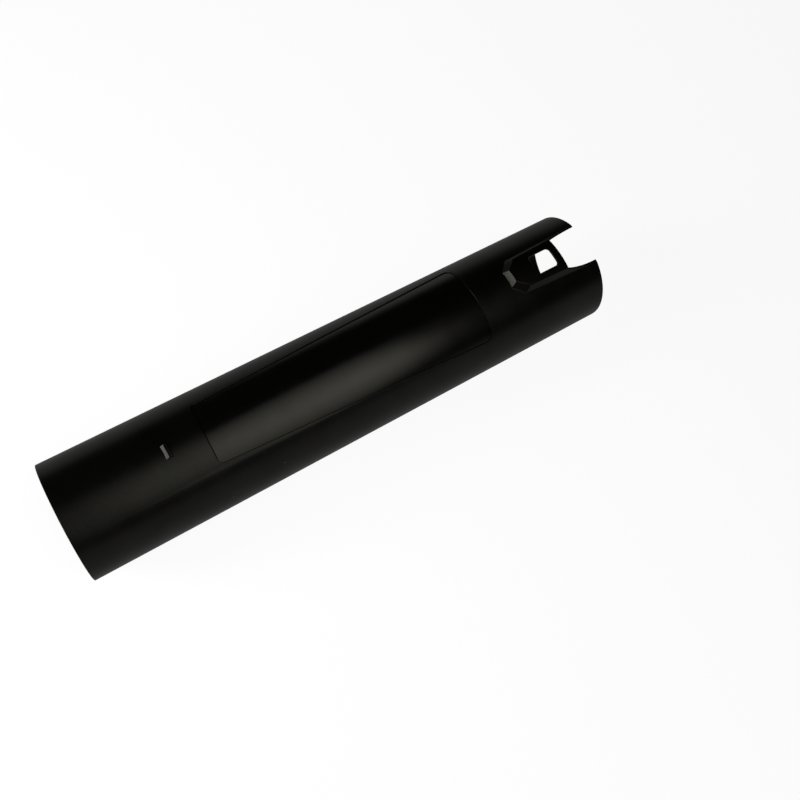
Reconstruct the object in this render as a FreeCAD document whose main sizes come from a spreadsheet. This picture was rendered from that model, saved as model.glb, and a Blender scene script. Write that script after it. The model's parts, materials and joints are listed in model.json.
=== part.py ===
import FreeCAD, Part

import math
import os

import Sketcher

V = FreeCAD.Vector

# Driving dimensions, millimetres and degrees.
# The tube lies along X. The inlet mouth, which pushes onto the blower, is at x = 0,
# the plain outlet end is at x = -tube_length, and the latch hood is on top (+Z).
DIMENSIONS = [
    ("tube_diameter", 95.0, "outside diameter"),
    ("tube_length", 468.7, "inlet mouth to outlet end"),
    ("tube_wall", 2.0, "wall of the tube"),
    ("rim_round", 0.4, "round on the outlet rim"),
    ("panel_setback", 115.5, "inlet mouth to the wide edge of the sunk panel"),
    ("panel_length", 239.8, "length of the sunk panel"),
    ("panel_wide", 69.2, "panel width at the inlet side, in plan"),
    ("panel_narrow", 49.4, "panel width at the outlet side, in plan"),
    ("panel_depth", 0.7, "depth of the sunk panel"),
    ("panel_corner", 5.0, "corner radius of the panel, in plan"),
    ("panel_round", 0.35, "round along the panel's upper edge"),
    ("hood_length", 88.8, "inlet mouth to the nose of the hood, at its root"),
    ("hood_shoulder", 77.6, "inlet mouth to the shoulders of the hood, at its root"),
    ("hood_nose_width", 21.8, "flat of the nose, at its root"),
    ("hood_shoulder_width", 36.9, "width over the shoulders, at the root"),
    ("hood_mouth_width", 41.1, "width at the inlet mouth, at the root"),
    ("crest_length", 76.6, "inlet mouth to the nose of the hood, at its crest"),
    ("crest_shoulder", 65.4, "inlet mouth to the shoulders of the hood, at its crest"),
    ("crest_nose_width", 8.8, "flat of the nose, at the crest"),
    ("crest_shoulder_width", 23.1, "width over the shoulders, at the crest"),
    ("crest_mouth_width", 27.1, "width at the inlet mouth, at the crest"),
    ("crest_margin", 2.0, "height of the crest above the hood's curved top"),
    ("hood_height", 4.5, "rise of the hood's top above the tube"),
    ("hood_root", 7.0, "depth of the hood's root below the tube's crown"),
    ("hood_wall", 1.5, "wall of the hood"),
    ("hood_round", 0.6, "round on the hood's top edges"),
    ("hood_corner_extra", 0.2, "how much more round the corners between the hood's sides are"),
    ("hood_fillet", 0.8, "fillet where the hood grows out of the tube"),
    ("slot_length", 30.2, "inlet mouth to the end of the hood's top"),
    ("slot_step", 3.4, "drop at the end of the hood's top"),
    ("slot_dip", 3.5, "depth of the slot below the tube's crown, at the inlet mouth"),
    ("slot_curve", 70.0, "radius of the hollow curve of the cheeks"),
    ("lip_round", 1.0, "round of the lips at the inlet mouth"),
    ("window_setback", 36.9, "inlet mouth to the latch window"),
    ("window_length", 21.2, "latch window, along the tube"),
    ("window_width", 16.9, "latch window, across the tube"),
    ("window_corner", 3.0, "corner radius of the latch window"),
    ("window_round", 0.4, "round along the upper edges of the latch window and of the slot's end"),
    ("catch_setback", 82.0, "outlet end to the toe of the nozzle catch, at the tube's crown"),
    ("catch_length", 5.0, "nozzle catch, along the tube"),
    ("catch_ramp", 2.0, "length of the catch's ramp"),
    ("catch_heel", 0.5, "slope of the catch's steep face, along the tube"),
    ("catch_width", 10.6, "nozzle catch, across the tube"),
    ("catch_height", 2.0, "rise of the nozzle catch above the tube"),
    ("catch_round", 0.4, "round on the catch's top edges"),
    ("overrun", 5.0, "how far cutting shapes reach past the solid"),
]

doc = FreeCAD.newDocument("nozzle_tube")
sheet = doc.addObject("Spreadsheet::Sheet", "Sheet")
for row, (alias, value, meaning) in enumerate(DIMENSIONS, start=1):
    sheet.set("A%d" % row, alias)
    sheet.set("B%d" % row, str(value))
    sheet.set("C%d" % row, meaning)
    sheet.setAlias("B%d" % row, alias)
doc.recompute()

ALONG_X = FreeCAD.Rotation(V(0, 1, 0), 90)
UPRIGHT_XZ = FreeCAD.Rotation(V(1, 0, 0), 90)
FLAT_XY = FreeCAD.Rotation()
TOLERANCE = 1e-4


def bind(thing, **formulas):
    """Ties properties to formulas of the sheet's aliases; a double underscore stands for a dot."""
    for name, formula in formulas.items():
        thing.setExpression(name.replace("__", "."), formula)


def rod(name, radius, start, length):
    """A round bar along X from `start`, all three given as formulas."""
    bar = doc.addObject("Part::Cylinder", name)
    bar.Placement = FreeCAD.Placement(V(), ALONG_X)
    bind(bar, Radius=radius, Height=length, Placement__Base__x=start)
    return bar


def sketch_on(name, rotation, level=None):
    """A sketch in plan (XY), raised to `level`, or in side view (XZ)."""
    sketch = doc.addObject("Sketcher::SketchObject", name)
    sketch.Placement = FreeCAD.Placement(V(), rotation)
    if level:
        bind(sketch, Placement__Base__z=level)
    return sketch


def fix_point(sketch, line, end, x, y):
    """Places one end of a line by two dimensions from the sketch's origin."""
    for kind, formula in (("DistanceX", x), ("DistanceY", y)):
        guess = getattr(sketch.getPoint(line, end), kind[-1].lower())
        index = sketch.addConstraint(Sketcher.Constraint(kind, -1, 1, line, end, guess))
        sketch.setExpression("Constraints[%d]" % index, formula)


def value_of(formula):
    return float(sheet.evalExpression(formula))


def outline(name, corners, rotation, level=None):
    """A closed outline of straight lines whose corners are pairs of formulas."""
    sketch = sketch_on(name, rotation, level)
    points = [V(value_of(x), value_of(y), 0) for x, y in corners]
    for start, end in zip(points, points[1:] + points[:1]):
        sketch.addGeometry(Part.LineSegment(start, end))
    count = len(points)
    for line in range(count):
        sketch.addConstraint(Sketcher.Constraint("Coincident", line, 2, (line + 1) % count, 1))
    for line, (x, y) in enumerate(corners):
        fix_point(sketch, line, 1, x, y)
    return sketch


def mirrored(half):
    """Corners of an outline that is the same on both sides of the X axis."""
    return half + [(x, "-(%s)" % y) for x, y in reversed(half)]


def extrude(name, base, length, both_ways=False):
    """A straight prism on an outline."""
    prism = doc.addObject("Part::Extrusion", name)
    prism.Base = base
    prism.DirMode = "Normal"
    prism.Solid = True
    prism.Symmetric = both_ways
    bind(prism, LengthFwd=length)
    return prism


def loft(name, outlines):
    """A solid with straight sides between two outlines at different levels."""
    solid = doc.addObject("Part::Loft", name)
    solid.Sections = outlines
    solid.Solid = True
    solid.Ruled = True
    return solid


def inset(name, source, distance):
    """A copy of an outline, moved inwards all round."""
    copy = doc.addObject("Part::Offset2D", name)
    copy.Source = source
    copy.Join = "Intersection"
    bind(copy, Value="-%s" % distance)
    return copy


def boolean(kind, name, base, tool):
    result = doc.addObject("Part::" + kind, name)
    result.Base = base
    result.Tool = tool
    return result


def round_edges(name, base, radius_formula, wanted):
    """Rounds those edges of `base` for which `wanted` is true."""
    doc.recompute()
    radius = value_of(radius_formula)
    numbers = [i for i, edge in enumerate(base.Shape.Edges, start=1) if wanted(edge)]
    if not numbers:
        raise RuntimeError("no edge to round on " + base.Name)
    rounded = doc.addObject("Part::Fillet", name)
    rounded.Base = base
    rounded.Edges = [(number, radius, radius) for number in numbers]
    return rounded


def is_upright(edge):
    return abs(edge.BoundBox.ZLength - edge.Length) < TOLERANCE


def samples(edge):
    return [edge.valueAt(edge.FirstParameter + share * (edge.LastParameter - edge.FirstParameter))
            for share in (0.1, 0.5, 0.9)]


def lies_on_radius(edge, radius):
    return all(abs(math.hypot(p.y, p.z) - radius) < TOLERANCE for p in samples(edge))


def lies_at_x(edge, x):
    return all(abs(p.x - x) < TOLERANCE for p in samples(edge))


CROWN = "Sheet.tube_diameter / 2"
HOOD_TOP = "(%s + Sheet.hood_height)" % CROWN
OUTLET = "-Sheet.tube_length"


# The plain round body of the tube, still solid.
def make_blank():
    return rod("TubeBlank", CROWN, OUTLET, "Sheet.tube_length")


# The latch hood: half an eight-sided box with leaning sides and a top that follows the tube.
# Its outline is drawn twice, at the root inside the tube and at the crest above the curved top.
def make_hood_outline(level_name, level, length, shoulder, nose_width, shoulder_width, mouth_width):
    flare = "(%s - %s) / 2 / %s" % (mouth_width, shoulder_width, shoulder)
    half = [
        ("Sheet.overrun", "%s / 2 + Sheet.overrun * %s" % (mouth_width, flare)),
        ("-%s" % shoulder, "%s / 2" % shoulder_width),
        ("-%s" % length, "%s / 2" % nose_width),
    ]
    return outline(level_name, mirrored(half), FLAT_XY, level)


def make_hood_outlines():
    root = make_hood_outline(
        "HoodRoot", "%s - Sheet.hood_root" % CROWN, "Sheet.hood_length", "Sheet.hood_shoulder",
        "Sheet.hood_nose_width", "Sheet.hood_shoulder_width", "Sheet.hood_mouth_width")
    crest = make_hood_outline(
        "HoodCrest", "%s + Sheet.crest_margin" % HOOD_TOP, "Sheet.crest_length", "Sheet.crest_shoulder",
        "Sheet.crest_nose_width", "Sheet.crest_shoulder_width", "Sheet.crest_mouth_width")
    return root, crest


def make_hood(root, crest):
    body = loft("HoodLoft", [root, crest])

    def is_corner(edge):
        return edge.BoundBox.ZLength > TOLERANCE and edge.BoundBox.XMax < 0

    cornered = round_edges("HoodCornered", body, "Sheet.hood_round + Sheet.hood_corner_extra", is_corner)
    envelope = rod("HoodEnvelope", HOOD_TOP, OUTLET, "Sheet.tube_length")
    block = boolean("Common", "HoodBlock", cornered, envelope)
    top = value_of(HOOD_TOP)

    def is_top_edge(edge):
        return lies_on_radius(edge, top) and not lies_at_x(edge, 0)

    return round_edges("HoodRounded", block, "Sheet.hood_round", is_top_edge)


def join_hood(blank, hood):
    hooded = boolean("Fuse", "HoodedBlank", blank, hood)
    crown = value_of(CROWN)
    nose = -value_of("Sheet.hood_length")

    def is_root_edge(edge):
        return lies_on_radius(edge, crown) and not lies_at_x(edge, 0) and edge.BoundBox.XMin > nose

    return round_edges("FilletedBlank", hooded, "Sheet.hood_fillet", is_root_edge)


def make_hood_cavity(root, crest):
    inner_root = inset("CavityRoot", root, "Sheet.hood_wall")
    inner_crest = inset("CavityCrest", crest, "Sheet.hood_wall")
    body = loft("CavityLoft", [inner_root, inner_crest])
    envelope = rod("CavityEnvelope", "%s - Sheet.hood_wall" % HOOD_TOP, OUTLET,
                   "Sheet.tube_length + Sheet.overrun")
    return boolean("Common", "HoodCavity", body, envelope)


# The slot behind the hood's top: its curved floor line leaves two cheeks that run out at the mouth.
def make_slot():
    sketch = sketch_on("SlotProfile", UPRIGHT_XZ)
    start = ("-Sheet.slot_length", "%s - Sheet.slot_step" % HOOD_TOP)
    lip = ("-Sheet.lip_round", "%s - Sheet.slot_dip" % CROWN)
    mouth = ("0", "%s - Sheet.slot_dip - Sheet.lip_round" % CROWN)
    outside = ("Sheet.overrun", mouth[1])
    above = "%s + Sheet.overrun" % HOOD_TOP
    corners = [V(value_of(x), value_of(y), 0) for x, y in
               (start, lip, mouth, outside, (outside[0], above), (start[0], above))]
    radius = value_of("Sheet.slot_curve")
    lip_radius = value_of("Sheet.lip_round")
    chord = corners[1] - corners[0]
    up = V(-chord.y, chord.x, 0).normalize()
    reach = math.sqrt(radius ** 2 - chord.Length ** 2 / 4)
    centre = corners[0] + chord / 2 + up * reach
    low = math.atan2(corners[0].y - centre.y, corners[0].x - centre.x)
    high = math.atan2(corners[1].y - centre.y, corners[1].x - centre.x)
    normal = V(0, 0, 1)
    curve = sketch.addGeometry(Part.ArcOfCircle(Part.Circle(centre, normal, radius), low, high))
    lip_centre = V(corners[1].x, corners[2].y, 0)
    nose = sketch.addGeometry(Part.ArcOfCircle(Part.Circle(lip_centre, normal, lip_radius),
                                               0, math.pi / 2))
    lines = [sketch.addGeometry(Part.LineSegment(a, b)) for a, b in
             zip(corners[2:], corners[3:] + corners[:1])]
    meetings = [(curve, 2, nose, 2), (nose, 1, lines[0], 1), (lines[0], 2, lines[1], 1),
                (lines[1], 2, lines[2], 1), (lines[2], 2, lines[3], 1), (lines[3], 2, curve, 1)]
    for meeting in meetings:
        sketch.addConstraint(Sketcher.Constraint("Coincident", *meeting))
    fix_point(sketch, curve, 1, *start)
    fix_point(sketch, nose, 2, *lip)
    fix_point(sketch, nose, 1, *mouth)
    fix_point(sketch, lines[1], 1, *outside)
    fix_point(sketch, lines[2], 1, outside[0], above)
    fix_point(sketch, lines[3], 1, start[0], above)
    for arc, size, formula in ((curve, radius, "Sheet.slot_curve"),
                               (nose, lip_radius, "Sheet.lip_round")):
        index = sketch.addConstraint(Sketcher.Constraint("Radius", arc, size))
        sketch.setExpression("Constraints[%d]" % index, formula)
    return extrude("SlotCut", sketch, "Sheet.tube_diameter", both_ways=True)


# The window in the hood's top, where the blower's sprung latch snaps through.
def make_window():
    near = "-Sheet.window_setback"
    far = "-Sheet.window_setback - Sheet.window_length"
    half = [(near, "Sheet.window_width / 2"), (far, "Sheet.window_width / 2")]
    sketch = outline("WindowOutline", mirrored(half), FLAT_XY, CROWN)
    prism = extrude("WindowPrism", sketch, "Sheet.hood_height + Sheet.overrun")
    return round_edges("WindowCut", prism, "Sheet.window_corner", is_upright)


# The shallow sunk panel on top: wider towards the inlet, with a floor that follows the tube.
def make_panel_recess():
    near = "-Sheet.panel_setback"
    far = "-Sheet.panel_setback - Sheet.panel_length"
    half = [(near, "Sheet.panel_wide / 2"), (far, "Sheet.panel_narrow / 2")]
    sketch = outline("PanelOutline", mirrored(half), FLAT_XY)
    prism = extrude("PanelPrism", sketch, "%s + Sheet.overrun" % CROWN)
    rounded = round_edges("PanelRounded", prism, "Sheet.panel_corner", is_upright)
    core = rod("PanelFloor", "%s - Sheet.panel_depth" % CROWN, OUTLET, "Sheet.tube_length")
    return boolean("Cut", "PanelRecess", rounded, core)


def within_x(edge, far, near):
    return edge.BoundBox.XMin > far - TOLERANCE and edge.BoundBox.XMax < near + TOLERANCE


def soften_panel(sunk):
    crown = value_of(CROWN)
    near = -value_of("Sheet.panel_setback")
    far = near - value_of("Sheet.panel_length")
    return round_edges("SoftPanel", sunk, "Sheet.panel_round",
                       lambda edge: lies_on_radius(edge, crown) and within_x(edge, far, near))


def soften_window(opened):
    top = value_of(HOOD_TOP)
    near = -value_of("Sheet.window_setback")
    far = near - value_of("Sheet.window_length")
    slot_end = -value_of("Sheet.slot_length")

    def is_soft_edge(edge):
        return lies_on_radius(edge, top) and (within_x(edge, far, near) or lies_at_x(edge, slot_end))

    return round_edges("SoftWindow", opened, "Sheet.window_round", is_soft_edge)


# The catch that the outlet nozzle snaps over: a ramp towards the outlet end and a steep back.
def make_catch():
    toe = "%s + Sheet.catch_setback" % OUTLET
    heel = "%s + Sheet.catch_length" % toe
    sunk = "Sheet.tube_wall / 2"
    run = "%s / Sheet.catch_height" % sunk
    top = "%s + Sheet.catch_height" % CROWN
    corners = [
        ("%s - Sheet.catch_ramp * %s" % (toe, run), "%s - %s" % (CROWN, sunk)),
        ("%s + Sheet.catch_heel * %s" % (heel, run), "%s - %s" % (CROWN, sunk)),
        ("%s - Sheet.catch_heel" % heel, top),
        ("%s + Sheet.catch_ramp" % toe, top),
    ]
    sketch = outline("CatchProfile", corners, UPRIGHT_XZ)
    wedge = extrude("CatchWedge", sketch, "Sheet.catch_width", both_ways=True)
    height = value_of(top)

    def is_top_edge(edge):
        return all(abs(p.z - height) < TOLERANCE for p in samples(edge))

    return round_edges("Catch", wedge, "Sheet.catch_round", is_top_edge)


def make_nozzle_tube():
    root, crest = make_hood_outlines()
    hooded = join_hood(make_blank(), make_hood(root, crest))
    caught = boolean("Fuse", "CaughtBlank", hooded, make_catch())
    sunk = soften_panel(boolean("Cut", "SunkBlank", caught, make_panel_recess()))
    bore = rod("Bore", "%s - Sheet.tube_wall" % CROWN, "%s - Sheet.overrun" % OUTLET,
               "Sheet.tube_length + 2 * Sheet.overrun")
    inside = boolean("Fuse", "Inside", bore, make_hood_cavity(root, crest))
    hollow = boolean("Cut", "HollowTube", sunk, inside)
    slotted = boolean("Cut", "SlottedTube", hollow, make_slot())
    opened = soften_window(boolean("Cut", "OpenedTube", slotted, make_window()))
    outlet = value_of(OUTLET)
    tube = round_edges("NozzleTube", opened, "Sheet.rim_round", lambda edge: lies_at_x(edge, outlet))
    tube.Label = "nozzle_tube"
    tube.Placement = FreeCAD.Placement()
    return tube


def check(parts):
    for thing in doc.Objects:
        if "Invalid" in thing.State or "Error" in thing.State:
            raise RuntimeError("%s failed: %s" % (thing.Name, thing.State))
    for part in parts:
        shape = part.Shape
        if shape.isNull() or not shape.isValid() or len(shape.Solids) != 1:
            raise RuntimeError("%s is not one sound solid" % part.Label)


parts = [make_nozzle_tube()]
doc.recompute()
check(parts)
os.makedirs("parts", exist_ok=True)
for part in parts:
    part.Shape.exportStep(os.path.join("parts", part.Label + ".step"))
    box = part.Shape.optimalBoundingBox(False, False)
    print("%s: volume %.1f cm3, x %.1f to %.1f, y %.1f to %.1f, z %.1f to %.1f" % (
        part.Label, part.Shape.Volume / 1000, box.XMin, box.XMax, box.YMin, box.YMax, box.ZMin, box.ZMax))
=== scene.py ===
# %% [markdown]
# # The blow tube of a leaf blower
#
# The object is one black plastic moulding: a long round tube with a latch hood at its inlet mouth,
# a shallow sunk panel along its top and a small catch for the nozzle near its outlet end.
# The CAD model gives every size. This lesson turns it into a finished picture in four steps:
# a smooth skin, a moulded finish, a small studio and a camera.

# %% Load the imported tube
import json
import math

import bmesh
import bpy
from mathutils import Matrix, Vector


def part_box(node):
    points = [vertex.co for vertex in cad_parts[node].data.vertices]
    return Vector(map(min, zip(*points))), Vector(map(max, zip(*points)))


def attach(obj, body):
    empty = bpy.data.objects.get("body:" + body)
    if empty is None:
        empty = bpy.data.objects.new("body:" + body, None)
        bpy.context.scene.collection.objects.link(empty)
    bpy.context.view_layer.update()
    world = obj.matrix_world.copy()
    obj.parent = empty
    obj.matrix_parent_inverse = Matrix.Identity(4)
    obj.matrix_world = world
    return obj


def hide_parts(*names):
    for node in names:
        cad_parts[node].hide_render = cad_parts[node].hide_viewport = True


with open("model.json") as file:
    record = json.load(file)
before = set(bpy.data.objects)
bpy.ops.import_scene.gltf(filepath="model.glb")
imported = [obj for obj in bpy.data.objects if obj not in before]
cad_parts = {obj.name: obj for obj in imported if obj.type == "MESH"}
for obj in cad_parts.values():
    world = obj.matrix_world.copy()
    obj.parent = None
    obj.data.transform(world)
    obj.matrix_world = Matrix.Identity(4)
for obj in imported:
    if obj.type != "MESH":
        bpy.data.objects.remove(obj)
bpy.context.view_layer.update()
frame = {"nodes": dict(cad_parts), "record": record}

MM = 0.001
tube_node = frame["nodes"]["nozzle_tube"]
tube_low, tube_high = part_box("nozzle_tube")
print("tube length %.3f m, faces from CAD %d" % (tube_high.x - tube_low.x, len(tube_node.data.polygons)))

# %% [markdown]
# ## A smooth skin
#
# The real tube is smooth and round, but its CAD mesh comes as loose triangles, with about fifty flats
# round the tube. A new cylinder could replace it, but then the hood, the slot and the panel would have to
# be cut out again by booleans. Here a copy of the mesh is welded shut instead, so every edge of the
# moulding stays where it is.

# %% Weld a copy of the mesh
WELD = 0.002 * MM
FLAT_ANGLE = math.radians(0.2)

skin = bmesh.new()
skin.from_mesh(tube_node.data)
bmesh.ops.remove_doubles(skin, verts=skin.verts, dist=WELD)
bmesh.ops.dissolve_limit(skin, angle_limit=FLAT_ANGLE, verts=skin.verts, edges=skin.edges)
open_edges = [edge for edge in skin.edges if len(edge.link_faces) != 2]
print("welded to %d faces, open edges %d" % (len(skin.faces), len(open_edges)))

# %% [markdown]
# The round faces lie on a handful of radii about the tube's axis: the outside, the floor of the sunk
# panel, the bore, and the top of the hood outside and inside. Faces that lie on one of them are marked
# in a face layer, which new faces inherit when a face is cut. A rim that looks along the tube can have
# all its corners on one radius too, so its direction tells it apart.

# %% Mark the round faces
PANEL_DEPTH = 0.7 * MM
HOOD_WALL = 1.5 * MM
ON_RADIUS = 0.01 * MM
LOOKS_ALONG_TUBE = 0.5
bore_mount = next(m for m in frame["record"]["mounts"] if m["name"] == "inlet_bore")
outer_radius = -tube_low.z
panel_radius = outer_radius - PANEL_DEPTH
bore_radius = bore_mount["dims"]["r_mm"] * MM
round_radii = [outer_radius, panel_radius, bore_radius, tube_high.z, tube_high.z - HOOD_WALL]


def axis_distance(point):
    return math.hypot(point.y, point.z)


def round_number(face):
    """1 for the first of the round radii and so on, 0 for a face on none of them."""
    for number, radius in enumerate(round_radii, start=1):
        if all(abs(axis_distance(v.co) - radius) < ON_RADIUS for v in face.verts):
            return 0 if abs(face.normal.x) > LOOKS_ALONG_TUBE else number
    return 0


roundness = skin.faces.layers.int.new("roundness")
for face in skin.faces:
    face[roundness] = round_number(face)
print("round faces", [sum(f[roundness] == n for f in skin.faces) for n in range(1, len(round_radii) + 1)])

# %% Measure the panel's narrow end
panel_number = round_radii.index(panel_radius) + 1
panel_points = [v.co.copy() for f in skin.faces if f[roundness] == panel_number for v in f.verts]
panel_end = min(point.x for point in panel_points)
panel_end_half = max(abs(point.y) for point in panel_points if point.x < panel_end + ON_RADIUS)
print("panel's narrow end at x %.4f m, half width %.4f m" % (panel_end, panel_end_half))

# %% [markdown]
# A fan of planes through the axis then cuts the round faces into narrow strips, and each new vertex is
# pushed out to the true radius. The outline is smooth from every side, and flat faces are left alone.

# %% Cut the round faces finer
FAN_PLANES = 96


def round_geometry():
    faces = [f for f in skin.faces if f[roundness]]
    edges = {e for f in faces for e in f.edges}
    verts = {v for f in faces for v in f.verts}
    return faces + list(edges) + list(verts)


for plane in range(FAN_PLANES):
    turn = math.pi * plane / FAN_PLANES
    bmesh.ops.bisect_plane(skin, geom=round_geometry(), dist=WELD, plane_co=(0, 0, 0),
                           plane_no=(0, math.cos(turn), math.sin(turn)))
for face in skin.faces:
    if face[roundness]:
        for vert in face.verts:
            stretch = round_radii[face[roundness] - 1] / axis_distance(vert.co)
            vert.co.y *= stretch
            vert.co.z *= stretch
print("finer skin: %d vertices, %d faces" % (len(skin.verts), len(skin.faces)))

# %% [markdown]
# Shading needs a normal at each corner of each face. On a round face the true one is known: it points
# straight out from the axis, or straight in on the bore. Elsewhere Blender works it out, smooth over
# the small rounds and split where two faces meet at more than the sharp angle.

# %% Make the piece with true normals
SHARP_ANGLE = math.radians(32)

tube_mesh = bpy.data.meshes.new("blow_tube")
skin.normal_update()
skin.to_mesh(tube_mesh)
skin.free()
if "custom_normal" in tube_mesh.attributes:
    tube_mesh.attributes.remove(tube_mesh.attributes["custom_normal"])
tube_mesh.shade_smooth()
tube_mesh.set_sharp_from_angle(angle=SHARP_ANGLE)

corner_normals = [Vector() for loop in tube_mesh.loops]
for polygon, number in zip(tube_mesh.polygons, tube_mesh.attributes["roundness"].data):
    if number.value:
        for corner in polygon.loop_indices:
            place = tube_mesh.vertices[tube_mesh.loops[corner].vertex_index].co
            radial = Vector((0, place.y, place.z)).normalized()
            corner_normals[corner] = radial if radial.dot(polygon.normal) > 0 else -radial
tube_mesh.normals_split_custom_set(corner_normals)

tube = bpy.data.objects.new("blow_tube", tube_mesh)
bpy.context.scene.collection.objects.link(tube)
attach(tube, "root")
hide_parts("nozzle_tube")
print("blow tube: %d faces" % len(tube_mesh.polygons))

# %% [markdown]
# ## Writing shaders as sums
#
# A material is a graph of nodes, and a graph of sums is hard to read when each node takes four lines.
# This small class wraps a socket, so that `1 - mask` adds the Math node by itself. One method makes
# every other kind of node.

# %% A socket that can be added and multiplied
class Wire:
    """A socket of a shader; sums on it become Math nodes."""

    def __init__(self, tree, socket=None):
        self.tree = tree
        self.socket = socket

    def node(self, kind, settings=None, inputs=None, output=0):
        """Adds a node, sets it up, fills or links its sockets, and gives one of its outputs."""
        made = self.tree.nodes.new(kind)
        for name, value in (settings or {}).items():
            setattr(made, name, value)
        for key, value in (inputs or {}).items():
            if isinstance(value, Wire):
                self.tree.links.new(value.socket, made.inputs[key])
            else:
                made.inputs[key].default_value = value
        return Wire(self.tree, made.outputs[output] if made.outputs else None)

    def sibling(self, output):
        """Another output of the same node."""
        return Wire(self.tree, self.socket.node.outputs[output])

    def math(self, operation, *values):
        return self.node("ShaderNodeMath", {"operation": operation}, dict(enumerate(values)))

    def ramp(self, start, end):
        """0 at `start`, 1 at `end`, smooth between and level outside."""
        return self.node("ShaderNodeMapRange", {"interpolation_type": "SMOOTHSTEP"},
                         {"Value": self, "From Min": start, "From Max": end})

    def __add__(self, other):
        return self.math("ADD", self, other)

    def __sub__(self, other):
        return self.math("SUBTRACT", self, other)

    def __rsub__(self, other):
        return self.math("SUBTRACT", other, self)

    def __mul__(self, other):
        return self.math("MULTIPLY", self, other)

    __radd__ = __add__
    __rmul__ = __mul__


# %% Helpers for colours and new shaders
# These are the numbers of the Mix node's colour sockets, which share their names with its other sockets.
MIX_A, MIX_B, MIX_COLOUR = 6, 7, 2


def mix_colours(pen, factor, first, second):
    return pen.node("ShaderNodeMix", {"data_type": "RGBA"},
                    {"Factor": factor, MIX_A: first, MIX_B: second}, MIX_COLOUR)


def new_shader(owner):
    """An empty shader on a material or a world, as a wire to draw with."""
    owner.use_nodes = True
    owner.node_tree.nodes.clear()
    return Wire(owner.node_tree)


print("shader tools ready")

# %% [markdown]
# ## The moulded finish
#
# The real tube is most likely polypropylene filled with carbon black: nearly black all through, with a
# satin grain from the mould. The sunk panel mirrors the lamp more sharply, as if it had been polished in
# the mould. Painting the panel by hand or giving it a second material would both work. Its radius already
# tells it from the rest, so one material serves, and it reads that radius from Object coordinates.

# %% Where on the tube a point lies
plastic = bpy.data.materials.new("moulded_black_plastic")
pen = new_shader(plastic)
spot = pen.node("ShaderNodeTexCoord", output="Object")
along = pen.node("ShaderNodeSeparateXYZ", inputs={0: spot}, output="X")
across, height = along.sibling("Y"), along.sibling("Z")
radius = pen.math("SQRT", across * across + height * height)
NEAR_RADIUS = 0.15 * MM


def near(wanted):
    """1 where the surface lies at the wanted radius, 0 elsewhere."""
    return (radius.ramp(wanted - 2 * NEAR_RADIUS, wanted - NEAR_RADIUS)
            * radius.ramp(wanted + 2 * NEAR_RADIUS, wanted + NEAR_RADIUS))


in_panel = near(panel_radius)
turned = near(outer_radius)
print("panel at radius %.2f mm, turned surface at %.2f mm" % (panel_radius / MM, outer_radius / MM))

# %% [markdown]
# The plain part of such a mould is often turned on a lathe, and the tool can leave fine rings round it.
# They spread the lamp's reflection along the tube and hardly across it. An anisotropic shader would do
# the same, but rings of relief can be kept to the plain surface, clear of the panel and the hood. All
# relief is in metres, so the Bump node adds no scale of its own.

# %% Grain and rings
GRAIN_SCALE = 1500
GRAIN_DETAIL = 2.0
GRAIN_DEPTH = 0.005 * MM
RING_SCALE = 1500
RING_DETAIL = 1.0
RING_DEPTH = 0.04 * MM
grain = pen.node("ShaderNodeTexNoise", inputs={"Vector": spot, "Scale": GRAIN_SCALE, "Detail": GRAIN_DETAIL})
rings = pen.node("ShaderNodeTexNoise", {"noise_dimensions": "1D"},
                 {"W": along, "Scale": RING_SCALE, "Detail": RING_DETAIL})
relief_height = grain * GRAIN_DEPTH + rings * turned * RING_DEPTH
relief = pen.node("ShaderNodeBump", inputs={"Strength": 1.0, "Distance": 1.0, "Height": relief_height})
print("grain %.3f mm deep, rings %.3f mm" % (GRAIN_DEPTH / MM, RING_DEPTH / MM))

# %% [markdown]
# Handling can leave a moulding a little shinier in some places than in others. A hand-painted map could
# show that, but soft noise with clouds of about two centimetres is enough and needs no picture. It moves
# the roughness up and down about its plain value.

# %% Cloudy roughness
CLOUD_SCALE = 45
CLOUD_DETAIL = 4.0
CLOUD_MIDDLE = 0.5
PLAIN_ROUGHNESS = 0.29
PANEL_ROUGHNESS = 0.2
CLOUD_ROUGHNESS = 0.06
cloud = pen.node("ShaderNodeTexNoise", inputs={"Vector": spot, "Scale": CLOUD_SCALE, "Detail": CLOUD_DETAIL})
unevenness = cloud - CLOUD_MIDDLE
roughness = PLAIN_ROUGHNESS + in_panel * (PANEL_ROUGHNESS - PLAIN_ROUGHNESS) + unevenness * CLOUD_ROUGHNESS
print("roughness about %.2f, %.2f on the panel" % (PLAIN_ROUGHNESS, PANEL_ROUGHNESS))

# %% [markdown]
# A used tube carries a few grains of pale dust and faint smears. Each is a small ball of space: where
# the surface passes through it, the plastic turns paler and duller. Modelled grains would be lost in
# the render's pixels.

# %% Dust and smears
# Each spot: millimetres from the outlet end, degrees round from the top, size in millimetres, amount.
DUST_SPOTS = [
    (113, -72, 0.8, 1.0),
    (158, -62, 0.8, 1.0),
    (116, -66, 4.0, 0.05),
    (128, -18, 6.0, 0.05),
    (73, -13, 5.0, 0.05),
]
dust = 0.0
for from_outlet, degrees_round, size, amount in DUST_SPOTS:
    turn = math.radians(degrees_round)
    middle = (tube_low.x + from_outlet * MM, outer_radius * math.sin(turn), outer_radius * math.cos(turn))
    apart = pen.node("ShaderNodeVectorMath", {"operation": "DISTANCE"}, {0: spot, 1: middle}, "Value")
    dust = apart.ramp(size * MM, 0.0) * amount + dust
print("%d spots of dust" % len(DUST_SPOTS))
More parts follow.
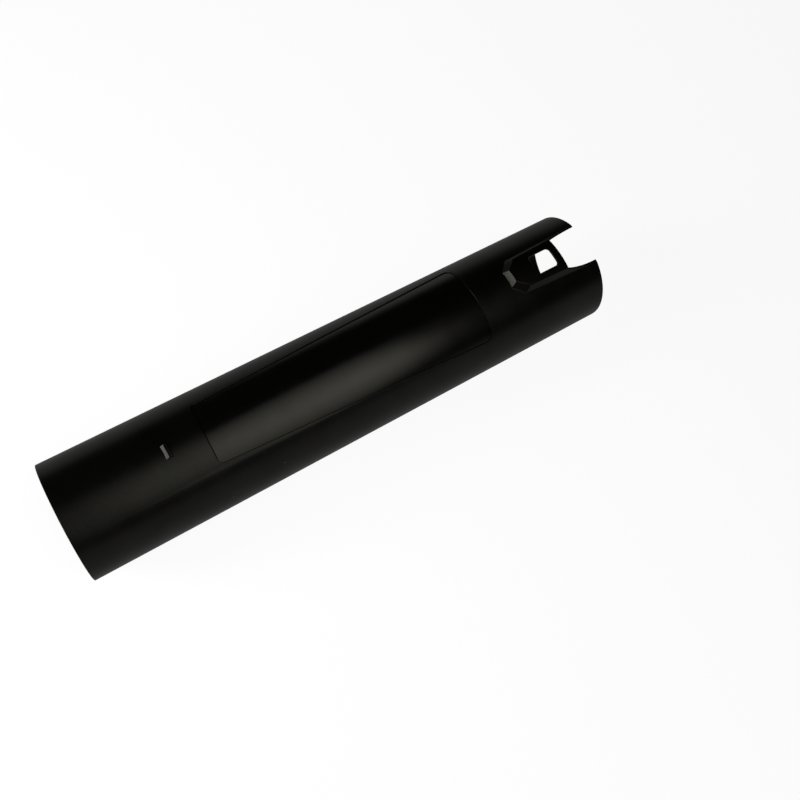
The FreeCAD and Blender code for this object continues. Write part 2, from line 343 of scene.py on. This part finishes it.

# %% [markdown]
# A thin dark line of painted shade follows the narrow end of the panel. The gloss is cut there, so the
# line stands in for the dark edge of the step. A thin strip of mesh could carry it, but a stripe in the
# material can't come loose from the surface. It lies at one place along the tube, on the upper half and
# across the panel's width.

# %% Painted shade at the panel's end
SHADE_LINE_WIDTH = 0.35 * MM
SHADE_LINE_FADE = 2 * MM
SHADE_LINE_DULLS = 0.75
UPPER_HALF = (0.0, 1 * MM)
# Painted shade: a mask for the dark line along the panel's narrow end.
off_line = pen.math("ABSOLUTE", along - panel_end)
painted_shade = off_line.ramp(2 * SHADE_LINE_WIDTH, SHADE_LINE_WIDTH) * height.ramp(*UPPER_HALF)
painted_shade *= pen.math("ABSOLUTE", across).ramp(panel_end_half + SHADE_LINE_FADE, panel_end_half)
print("grime dulls the gloss by %.2f" % SHADE_LINE_DULLS)

# %% [markdown]
# Real plastic mirrors about four parts in a hundred of what stands before it, and more at the edges.
# The fine grain of this moulding seems to trap most of that. Turning the mirror strength down would also
# change how it grows towards the edges, so two finishes are mixed instead: mostly a dead matt black, and
# a small share of true plastic gloss, larger on the panel.

# %% The finished plastic
BLACK = (0.0006, 0.0006, 0.0004, 1)
GREYED_BLACK = (0.0012, 0.0012, 0.0009, 1)
DUST_GREY = (0.05, 0.05, 0.045, 1)
DUST_ROUGHNESS = 0.3
WARM_GLOSS = (1.0, 0.98, 0.86, 1)
PLAIN_GLOSS = 0.19
PANEL_GLOSS = 0.24
CLOUD_GLOSS = 0.07
colour = mix_colours(pen, dust, mix_colours(pen, cloud, BLACK, GREYED_BLACK), DUST_GREY)
coat = {"Base Color": colour, "Roughness": roughness + dust * DUST_ROUGHNESS, "Normal": relief}
matt = pen.node("ShaderNodeBsdfPrincipled", inputs={**coat, "Specular IOR Level": 0.0})
glossy = pen.node("ShaderNodeBsdfPrincipled", inputs={**coat, "Specular Tint": WARM_GLOSS})
gloss = PLAIN_GLOSS + in_panel * (PANEL_GLOSS - PLAIN_GLOSS) + unevenness * CLOUD_GLOSS
# Painted shade: less gloss along the panel's narrow end draws the step's dark edge.
gloss *= 1 - painted_shade * SHADE_LINE_DULLS
surface = pen.node("ShaderNodeMixShader", inputs={0: gloss, 1: matt, 2: glossy})
pen.node("ShaderNodeOutputMaterial", inputs={"Surface": surface})
tube_mesh.materials.clear()
tube_mesh.materials.append(plastic)
print("plastic has %d nodes" % len(plastic.node_tree.nodes))

# %% [markdown]
# ## The studio
#
# The tube lies on a white sweep. White paper under lamps looks grey to a camera that shows a black object
# well. Stronger lamps would whiten it but spoil the black, so most of the floor's colour is a glow for the
# camera and for reflections, and the rest is plain paper that keeps the shadow.

# %% White floor
FLOOR_SIZE = 12.0
FLOOR_WHITE = (0.9, 0.9, 0.9, 1)
FLOOR_GLOW = 0.92

floor_paint = bpy.data.materials.new("white_paper")
pen = new_shader(floor_paint)
ray = pen.node("ShaderNodeLightPath", output="Is Camera Ray")
looked_at = ray + ray.sibling("Is Glossy Ray") + ray.sibling("Is Transmission Ray")
paper = pen.node("ShaderNodeBsdfDiffuse", inputs={"Color": FLOOR_WHITE})
glow = pen.node("ShaderNodeEmission", inputs={"Strength": 1.0})
sweep = pen.node("ShaderNodeMixShader", inputs={0: looked_at * FLOOR_GLOW, 1: paper, 2: glow})
pen.node("ShaderNodeOutputMaterial", inputs={"Surface": sweep})

floor_shape = bmesh.new()
bmesh.ops.create_grid(floor_shape, x_segments=1, y_segments=1, size=FLOOR_SIZE / 2,
                      matrix=Matrix.Translation((0, 0, tube_low.z)))
floor_mesh = bpy.data.meshes.new("floor")
floor_shape.to_mesh(floor_mesh)
floor_shape.free()
floor_mesh.materials.append(floor_paint)
floor = bpy.data.objects.new("floor", floor_mesh)
bpy.context.scene.collection.objects.link(floor)
print("floor at %.4f m" % tube_low.z)

# %% [markdown]
# A black object shows its surroundings more than its own colour. Round the tube stand white walls that
# fade out slowly into a dark room above, a little higher on the camera's side. The dark room gives the
# black bands along the sides of the tube. Walls of mesh would do as well, but the world needs no room
# on the floor and casts no shadow.

# %% Dark room with pale walls
WALL_TOP = math.sin(math.radians(20))
WALL_FADE = math.sin(math.radians(-4))
WALL_LEAN = 0.1
ROOM_DARK = (0.01, 0.01, 0.01, 1)
WALL_WHITE = (1.0, 1.0, 1.0, 1)

room = bpy.data.worlds.new("studio_room")
bpy.context.scene.world = room
pen = new_shader(room)
direction = pen.node("ShaderNodeTexCoord", output="Generated")
rise = pen.node("ShaderNodeSeparateXYZ", inputs={0: direction}, output="Z")
wall = (rise + rise.sibling("Y") * WALL_LEAN).ramp(WALL_TOP, WALL_FADE)
light = pen.node("ShaderNodeBackground", inputs={"Color": mix_colours(pen, wall, ROOM_DARK, WALL_WHITE)})
pen.node("ShaderNodeOutputWorld", inputs={"Surface": light})
print("walls end at about %.0f degrees" % math.degrees(math.asin(WALL_TOP)))

# %% [markdown]
# One large softbox overhead draws the long highlight on the panel. A smaller lamp low behind the
# outlet end lights the faces that look that way: the nose of the hood, the ramp of the catch and the
# far wall of the panel. A lamp with a narrower spread shines brighter in its middle, so the helper takes
# that gain back and each lamp's brightness can be set by itself.

# %% Helpers for lamps and camera
def looking(place, aim, top):
    """The matrix of a lamp or camera at `place` that looks at `aim`, with its upper edge towards `top`."""
    back = (place - aim).normalized()
    right = top.cross(back).normalized()
    return Matrix.Translation(place) @ Matrix((right, back.cross(right), back)).transposed().to_4x4()


def softbox(name, place, aim, top, size, radiance, spread):
    """A square-edged lamp; `radiance` is that of its middle, `spread` the angle beyond which it is dark."""
    half = math.radians(spread / 2)
    narrowing = 1 - half / math.tan(half)
    data = bpy.data.lights.new(name, "AREA")
    data.shape = "RECTANGLE"
    data.size, data.size_y = size
    data.energy = radiance * narrowing * math.pi * size[0] * size[1]
    data.spread = 2 * half
    lamp = bpy.data.objects.new(name, data)
    lamp.matrix_world = looking(place, aim, top)
    lamp.visible_camera = False
    bpy.context.scene.collection.objects.link(lamp)
    print("%s at %s, %.1f W" % (name, [round(c, 2) for c in place], data.energy))


# %% Lamps
HOOD_NOSE = Vector((-0.08, 0, outer_radius))

softbox("overhead_softbox", place=Vector((-0.13, -0.49, 1.10)), aim=Vector((-0.64, 0, outer_radius)),
        top=Vector((-0.2, 1, 0)), size=(0.75, 1.9), radiance=6.0, spread=86)
softbox("low_lamp", place=HOOD_NOSE + Vector((-1.16, 0.32, 0.37)), aim=HOOD_NOSE,
        top=Vector((0, 0, 1)), size=(0.36, 0.7), radiance=24.0, spread=120)

# %% [markdown]
# ## The camera
#
# The camera stands above the plain end of the tube and looks down along it. Turning it by angles would
# also work, but three angles are hard to picture. Its place, the point that it looks at and the direction
# of the picture's top edge fix the same view.

# %% Camera
CAMERA_PLACE = Vector((-0.4219, -0.1800, 0.6610))
CAMERA_AIM = Vector((-0.2040, -0.0179, 0.0))
PICTURE_TOP = Vector((0.4393, 0.8282, 0.3479))
LENS_MM = 39.28
SENSOR_MM = 36.0
FRAME_SHIFT = (0.02, -0.02)

camera_data = bpy.data.cameras.new("camera")
camera_data.sensor_width = SENSOR_MM
camera_data.lens = LENS_MM
camera_data.shift_x, camera_data.shift_y = FRAME_SHIFT
camera = bpy.data.objects.new("camera", camera_data)
camera.matrix_world = looking(CAMERA_PLACE, CAMERA_AIM, PICTURE_TOP)
bpy.context.scene.collection.objects.link(camera)
bpy.context.scene.camera = camera
bpy.context.scene.view_settings.view_transform = "Standard"
print("camera %.2f m from its aim" % (CAMERA_PLACE - CAMERA_AIM).length)
